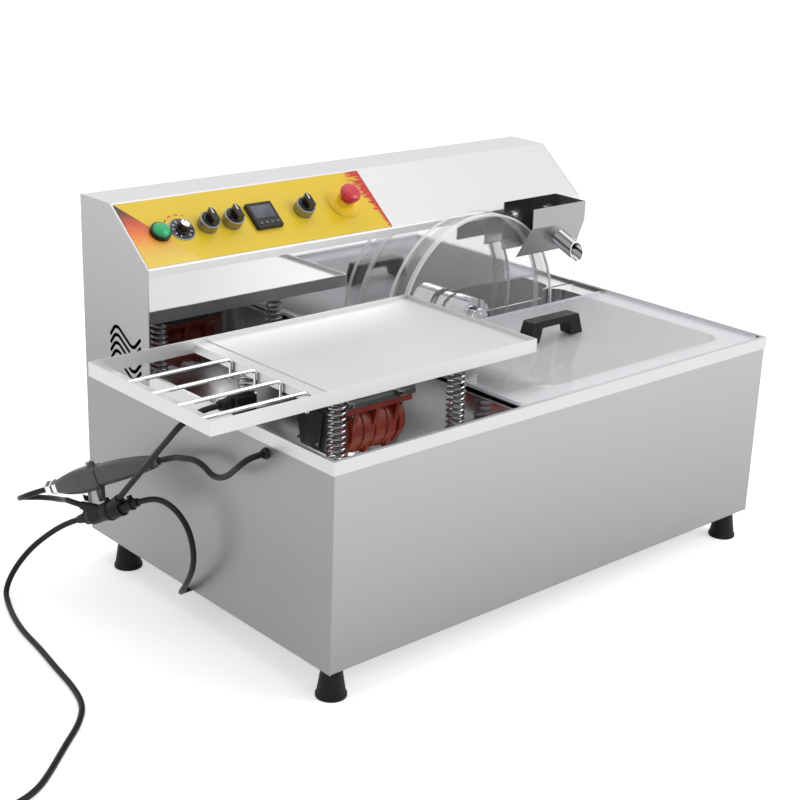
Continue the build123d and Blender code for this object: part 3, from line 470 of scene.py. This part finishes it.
gloss_black = Finish("moulded_black", (0.006, 0.006, 0.006), 0.22, Specular_IOR_Level=0.35)
gloss_black.set(
    Base_Color=gloss_black.mix(gloss_black.noise(30, 3), (0.003, 0.003, 0.003), (0.011, 0.011, 0.012)),
    Roughness=0.14 + gloss_black.noise(50, 4) * 0.12,
)
gloss_black.relief(gloss_black.noise(900, 2), 0.0001, 0.3)
dress(gloss_black, "lid_handle", "speed_knob", "selector_knob_a", "selector_knob_b", "selector_knob_c")
dress(gloss_black, "controller_case")


# Hand unit, held in the cord. A dark grey shell with a polished cable nut at its lower
# end, a screw boss on top and two levers below, and the cable ties round the splice.
shell = Finish("unit_shell", (0.06, 0.062, 0.065), 0.4)
shell.relief(shell.noise(600, 3), 0.0002, 0.5)
shell.set(
    Base_Color=shell.mix(shell.noise(60, 4), (0.04, 0.041, 0.044), (0.085, 0.087, 0.09)),
    Roughness=0.34 + shell.noise(40, 4) * 0.16,
)
dress(shell, "hand_unit", "unit_lever_2")
dress(chrome, "unit_lever_1")


def started():
    bpy.ops.object.select_all(action="DESELECT")


# Draws a turned or many-sided piece up from a circle, ring by ring.
def ringed(z, radius, rings, sides=48):
    started()
    bpy.ops.mesh.primitive_circle_add(vertices=sides, radius=radius, fill_type="NGON", location=(0, 0, z))
    bpy.ops.object.mode_set(mode="EDIT")
    for height, reach in rings:
        bpy.ops.mesh.extrude_region_move(TRANSFORM_OT_translate={"value": (0, 0, height - z)})
        bpy.ops.transform.resize(value=(reach / radius, reach / radius, 1))
        z = height
        radius = reach
    bpy.ops.mesh.select_all(action="SELECT")
    bpy.ops.mesh.normals_make_consistent(inside=False)
    bpy.ops.object.mode_set(mode="OBJECT")
    return bpy.context.object


# Cuts a block with rounded edges, drawn in across its far side by taper.
def block(size, middle, edge, taper=1.0):
    started()
    bpy.ops.mesh.primitive_cube_add(size=1, location=middle)
    made = bpy.context.object
    made.scale = size
    bpy.ops.object.transform_apply(location=True, rotation=True, scale=True)
    for vertex in made.data.vertices:
        if vertex.co.y > middle[1]:
            vertex.co.x = middle[0] + (vertex.co.x - middle[0]) * taper
    rounding = made.modifiers.new("rounding", "BEVEL")
    rounding.width = edge
    rounding.segments = 3
    bpy.ops.object.modifier_apply(modifier=rounding.name)
    return made


# Names a piece, sets it in place, gives it its finish, and has it move with its body.
def settled(made, name, body, finish, place, crease=30):
    made.name = name
    started()
    made.select_set(True)
    bpy.context.view_layer.objects.active = made
    bpy.ops.object.transform_apply(location=True, rotation=True, scale=True)
    made.data.transform(place)
    bpy.ops.object.shade_smooth_by_angle(angle=math.radians(crease))
    made.data.materials.clear()
    made.data.materials.append(finish.material)
    if body:
        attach(made, body)
    return made


def axes(origin, x, y, z):
    turn = Matrix((Vector(x), Vector(y), Vector(z))).transposed().to_4x4()
    return Matrix.Translation(at(*origin)) @ turn


unit_side = Vector((-0.903847, -0.427856, 0))
unit_up = Vector((-0.166, 0.3519, 0.921))
unit_long = Vector((0.3941, -0.8325, 0.3892))


def on_unit(along):
    return axes(Vector(UNIT_END) + unit_long * along, unit_side, unit_up, unit_long)


for name, z, radius, rings, sides, crease in (
    ("cable_nut", -0.003, 0.0104, [(-0.0022, 0.0114), (0.0062, 0.0114), (0.007, 0.0104)], 6, 20),
    ("cable_neck", 0.007, 0.0088, [(0.0072, 0.009), (0.0098, 0.009), (0.01, 0.0088)], 24, 30),
    ("cable_collar", 0.01, 0.0106, [(0.0106, 0.0116), (0.0172, 0.0116), (0.018, 0.0106)], 6, 30),
):
    turned_piece = ringed(z, radius, rings, sides)
    settled(turned_piece, name, "cabinet", chrome, on_unit(0), crease)
boss = ringed(0, 0.0058, [(0.0004, 0.0062), (0.0036, 0.006), (0.004, 0.0056)], 24)
boss_spot = Vector(UNIT_END) + unit_long * 82 + unit_up * 21.5
boss_way = axes(boss_spot, unit_side, -unit_long, unit_up)
settled(boss, "unit_boss", "cabinet", chrome, boss_way)
tail_nut = ringed(0, 0.0078, [(0.001, 0.0088), (0.0075, 0.0088), (0.008, 0.0076)], 12)
settled(tail_nut, "tail_nut", "cabinet", gloss_black, on_unit(189.5), 20)

tie_way = Vector((40, -98, 51)).normalized()
tie_side = tie_way.cross(Vector((0, 0, 1))).normalized()
tie_up = tie_side.cross(tie_way)
for number, (along, reach) in enumerate(((17, 11.5), (62, 15.6), (84, 13.4), (104, 9.2))):
    place = axes(Vector(SPLICE_END) + tie_way * along, tie_side, tie_up, tie_way)
    outer = reach / 1000
    inner = outer - 0.001
    band = ringed(0, inner, [(0.0004, outer), (0.0036, outer), (0.004, inner)], 32)
    settled(band, f"tie_band_{number + 1}", "cabinet", flex, place)
    head = block((0.006, 0.005, 0.006), (0, outer + 0.0012, 0.002), 0.0008)
    settled(head, f"tie_head_{number + 1}", "cabinet", flex, place)


# Springs under the table. Round steel wire, wound with the same pitch all the way.
SPRING_LOW = 0.258
SPRING_HIGH = 0.4
SPRING_TURNS = 16
SPRING_R = 0.014
SEATED = 4
WIRE = 0.0021
WIRE_SIDES = 8
for number, (x, y) in enumerate(((90, 105), (90, 306), (310, 105), (310, 306))):
    started()
    bpy.ops.mesh.primitive_circle_add(vertices=WIRE_SIDES, radius=WIRE, rotation=(math.pi / 2, 0, 0))
    bpy.ops.object.transform_apply(location=True, rotation=True, scale=True)
    spring = bpy.context.object
    spring.data.transform(Matrix.Translation((SPRING_R - WIRE, 0, 0)))
    wind = spring.modifiers.new("wind", "SCREW")
    wind.steps = 20
    wind.render_steps = 20
    wind.iterations = SPRING_TURNS
    wind.screw_offset = (SPRING_HIGH - SPRING_LOW - 2 * WIRE) / SPRING_TURNS
    bpy.ops.object.modifier_apply(modifier=wind.name)
    bpy.ops.object.mode_set(mode="EDIT")
    bpy.ops.mesh.select_all(action="SELECT")
    bpy.ops.mesh.remove_doubles(threshold=0.00001)
    bpy.ops.mesh.fill_holes(sides=WIRE_SIDES)
    bpy.ops.mesh.normals_make_consistent(inside=False)
    bpy.ops.object.mode_set(mode="OBJECT")
    place = Matrix.Translation(at(x, y, SPRING_LOW * 1000) + Vector((0, 0, WIRE)))
    settled(spring, f"spring_{number + 1}", None, chrome, place, 60)
    low = at(x, y, SPRING_LOW * 1000 + SEATED)
    high = at(x, y, SPRING_HIGH * 1000 - SEATED)
    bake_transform(spring)
    if number == 0:
        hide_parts("springs")


# Wheel and lid. Clear acrylic, cut from sheet, a little cloudy from use, with cut edges
# that catch the light: the wheel's rim, and all round the lid.
WHEEL_X = 0.2145
WHEEL_Z = 0.351
WHEEL_RIM = 0.1705
WHEEL_FACES = (0.0605, 0.0845)
LID_ENDS = (-0.0283, 0.5133)
LID_SIDES = (-0.2903, 0.0442)


def acrylic(name, tone, edge, share, rim):
    made = Finish(name, tone, 0.03, IOR=1.49)
    glance = made.node("ShaderNodeFresnel", {}, {"IOR": 1.3})
    cloud = made.noise(18, 3)
    clear = share + glance * 0.4 + cloud * 0.02
    cut = rim(made)
    made.set(
        Base_Color=made.mix(cut, tone, edge),
        Alpha=(clear + cut * 0.6).clamped(),
        Roughness=0.02 + cloud * 0.04,
    )
    return made


def beyond(value, limits):
    return (value < limits[0]).math("MAXIMUM", value > limits[1])


def wheel_rim(made):
    x, y, z = made.split()
    across = x - WHEEL_X
    rise = z - WHEEL_Z
    reach = (across * across + rise * rise).math("SQRT")
    return (reach > WHEEL_RIM) * beyond(y, WHEEL_FACES)


def lid_rim(made):
    x, y, _ = made.split()
    return beyond(x, LID_ENDS).math("MAXIMUM", beyond(y, LID_SIDES))


wheel_clear = acrylic("wheel_acrylic", (0.86, 0.88, 0.9), (0.92, 0.93, 0.94), 0.015, wheel_rim)
lid_clear = acrylic("lid_acrylic", (0.93, 0.93, 0.96), (0.85, 0.84, 0.93), 0.12, lid_rim)
dress(wheel_clear, "wheel")
dress(lid_clear, "lid_sheet")


# Vibration motor. An iron casting in red-brown paint with ribs round its body, a paler
# band along its lower edge that is a painted highlight, and a dark terminal box with four screws at its
# end.
MOTOR_Y = 185
MOTOR_Z = 310
paint = Finish("motor_paint", (0.3, 0.05, 0.03), 0.42)
height = paint.split()[2]
coat = paint.mix(paint.noise(30, 4), (0.26, 0.036, 0.02), (0.46, 0.075, 0.042))
# Painted highlight: a paler band along the casting's lower edge.
painted_highlight_band = (height < 0.297) * (height > 0.272)
paint.set(
    Base_Color=paint.mix(painted_highlight_band * 0.8, coat, (0.66, 0.14, 0.08)),
    Roughness=0.34 + paint.noise(60, 4) * 0.2,
)
paint.relief(paint.noise(260, 4), 0.0006, 0.6)
dress(paint, "vibration_motor")

cover = Finish("terminal_box", (0.05, 0.051, 0.054), 0.42)
cover.set(Base_Color=cover.mix(cover.noise(40, 4), (0.03, 0.03, 0.033), (0.075, 0.076, 0.08)))
cover.relief(cover.noise(300, 4), 0.0003, 0.5)


def terminal_plate(name, low, high, spans, edge):
    size = [end - start for start, end in spans]
    middle = [(start + end) / 2 for start, end in spans]
    made = block(size, middle, edge)
    for vertex in made.data.vertices:
        share = (vertex.co.z - spans[2][0]) / size[2]
        vertex.co.y = middle[1] + (vertex.co.y - middle[1]) * (low + (high - low) * share)
    return settled(made, name, "table", cover, Matrix.Translation(at(0, 0, 0)))


terminal_plate("terminal_cover", 0.72, 1.12, ((0.112, 0.1262), (0.152, 0.218), (0.286, 0.352)), 0.003)
terminal_plate("terminal_cap", 0.66, 1.0, ((0.1055, 0.1125), (0.157, 0.213), (0.291, 0.347)), 0.002)
for number, (y, z) in enumerate(((164, 300), (206, 300), (161, 338), (209, 338))):
    head = ringed(0, 0.0026, [(0.0016, 0.0026), (0.0022, 0.0018)], 6)
    turned = axes((105.6, y, z), (0, 1, 0), (0, 0, 1), (1, 0, 0)) @ Matrix.Rotation(math.pi, 4, "X")
    settled(head, f"terminal_screw_{number + 1}", "table", chrome, turned)
for number, x in enumerate((150, 172, 194, 216, 238)):
    rib = ringed(0, 0.0412, [(0.0006, 0.042), (0.0034, 0.042), (0.004, 0.0412)], 64)
    place = axes((x, MOTOR_Y, MOTOR_Z), (0, 1, 0), (0, 0, 1), (1, 0, 0))
    settled(rib, f"motor_rib_{number + 1}", "table", paint, place)


# Control panel. A yellow printed film with a grainy warm corner at its left end and
# ragged red rays at its right, and a broken red arc over the speed dial.
SLOPE_COS = 0.77928
SLOPE_SIN = 0.62667
PANEL_Y = 420
PANEL_Z = 507
ROW = 60
DIAL_X = 90
PRINT_LEFT = 4
PRINT_RIGHT = 461
PRINT_TOP = 121
PRINT_TALL = 117.5
WARM_RIGHT = 96
WARM_FALL = 1.277


# Gives the distance along the panel and the distance up its slope, in millimetres.
def panel_spot(made):
    x, y, z = made.split()
    out = y * 1000 - (PANEL_Y - MIDDLE_Y)
    return x * 1000 + MIDDLE_X, out * SLOPE_COS + (z * 1000 - PANEL_Z) * SLOPE_SIN


def round_dial(wide, tall):
    over = wide - DIAL_X
    rise = tall - ROW
    return (over * over + rise * rise).math("SQRT"), rise.math("ARCTAN2", over)


printed = Finish("panel_print", (0.9, 0.62, 0.03), 0.3)
wide, tall = panel_spot(printed)
fleck = printed.noise(700)
grain = (fleck - 0.5) * 1.1
wedge = (PRINT_TOP - (wide - PRINT_LEFT) * WARM_FALL) - tall
fade = ((PRINT_TOP - tall) / PRINT_TALL + grain * 0.5).clamped()
warm = printed.ramp(
    fade,
    [
        (0.0, (0.02, 0.01, 0.01)),
        (0.16, (0.12, 0.03, 0.015)),
        (0.3, (0.55, 0.06, 0.02)),
        (0.52, (0.8, 0.2, 0.03)),
        (0.72, (0.76, 0.44, 0.05)),
        (1.0, (0.76, 0.58, 0.08)),
    ],
)
ray = printed.noise(1.0, 4, printed.stretched((40, 520, 520)))
reach = (PRINT_RIGHT - wide) / (6 + tall * 0.33)
rays_on = (ray * 2.3 + grain * 0.25 - 0.62) > reach
far, angle = round_dial(wide, tall)
dash = (angle * 14).math("SINE") > -0.35
arc = (far > 26.5) * (far < 28.7) * (angle > 1.0) * (angle < 2.75) * dash
ink = printed.mix((wedge > 0) * (wide < WARM_RIGHT), (0.72, 0.5, 0.012), warm)
ink = printed.mix(rays_on, ink, (0.52, 0.02, 0.012))
ink = printed.mix(arc, ink, (0.55, 0.02, 0.02))
printed.set(Base_Color=ink, Roughness=0.28 + fleck * 0.08)
printed.relief(fleck, 0.00004, 0.4)
dress(printed, "panel_overlay")


# Lamp, dial, knobs, controller and stop button, each a bought fitting, all in one row
# across the panel. The speed dial has white marks, and each selector a white pointer.
def on_panel(x):
    spot = (x, PANEL_Y + ROW * SLOPE_COS, PANEL_Z + ROW * SLOPE_SIN)
    return axes(spot, (1, 0, 0), (0, SLOPE_COS, SLOPE_SIN), (0, -SLOPE_SIN, SLOPE_COS))


green = Finish("pilot_green", (0.0, 0.35, 0.12), 0.2)
green.set(Base_Color=green.mix(green.noise(60, 3), (0.0, 0.3, 0.09), (0.01, 0.46, 0.17)))
green.relief(green.noise(300, 2), 0.0003, 0.4)
dress(green, "pilot_lens")
ring = ringed(0.0008, 0.0154, [(0.0014, 0.0162), (0.0074, 0.0158), (0.0078, 0.015)])
settled(ring, "pilot_collar", "cabinet", gloss_black, on_panel(52))

plate = ringed(0.0019, 0.0186, [(0.0021, 0.0186), (0.0022, 0.0184)])
ticks = Finish("dial_plate", (0.02, 0.02, 0.02), 0.3)
far, angle = round_dial(*panel_spot(ticks))
mark = ((angle * 11).math("SINE") > 0.86) * (far > 12.4) * (far < 16.5)
ticks.set(
    Base_Color=ticks.mix(mark * beyond(angle, (-2.1, -1.1)), (0.015, 0.015, 0.016), (0.8, 0.8, 0.8)),
    Roughness=0.25 + ticks.noise(80, 3) * 0.1,
)
settled(plate, "dial_face", "cabinet", ticks, on_panel(DIAL_X))
cap = ringed(0.0162, 0.0068, [(0.0166, 0.007), (0.0168, 0.0066)])
settled(cap, "knob_cap", "speed_knob", chrome, on_panel(DIAL_X))
hand = block((0.0012, 0.0062, 0.0006), (0, 0.0036, 0.0169), 0.0002)
settled(hand, "knob_line", "speed_knob", gloss_black, on_panel(DIAL_X))

white = Finish("pointer_white", (0.8, 0.8, 0.8), 0.4)
white.relief(white.noise(700, 2), 0.0001, 0.3)
for letter, x in (("a", 134), ("b", 178), ("c", 313)):
    line = block((0.0026, 0.0125, 0.0016), (0, 0.0072, 0.0288), 0.0004, 0.4)
    settled(line, f"pointer_{letter}", f"selector_{letter}", white, on_panel(x))

screen = Finish("screen_glass", (0.05, 0.06, 0.08), 0.12)
screen.set(
    Base_Color=screen.mix(screen.noise(25, 2), (0.045, 0.05, 0.07), (0.09, 0.1, 0.13)),
    Roughness=0.1 + screen.noise(90, 2) * 0.06,
)
glass = block((0.0376, 0.0236, 0.001), (0, 0.006, 0.0073), 0.0004)
settled(glass, "screen", "cabinet", screen, on_panel(237))
key_grey = Finish("key_grey", (0.09, 0.09, 0.1), 0.4)
key_grey.relief(key_grey.noise(900, 2), 0.0001, 0.3)
dress(key_grey, "controller_key_1", "controller_key_2", "controller_key_3", "controller_key_4")

yellow = Finish("stop_yellow", (0.86, 0.6, 0.02), 0.3)
yellow.set(Base_Color=yellow.mix(yellow.noise(80, 3), (0.8, 0.52, 0.01), (0.9, 0.66, 0.05)))
yellow.relief(yellow.noise(500, 3), 0.0002, 0.4)
dress(yellow, "estop_base")
red = Finish("stop_red", (0.6, 0.015, 0.03), 0.3)
red.set(
    Base_Color=red.mix(red.noise(120, 3), (0.5, 0.012, 0.03), (0.66, 0.03, 0.06)),
    Roughness=0.2 + red.noise(60, 3) * 0.12,
)
red.relief(red.noise(500, 3), 0.0002, 0.4)
dress(red, "estop_button")
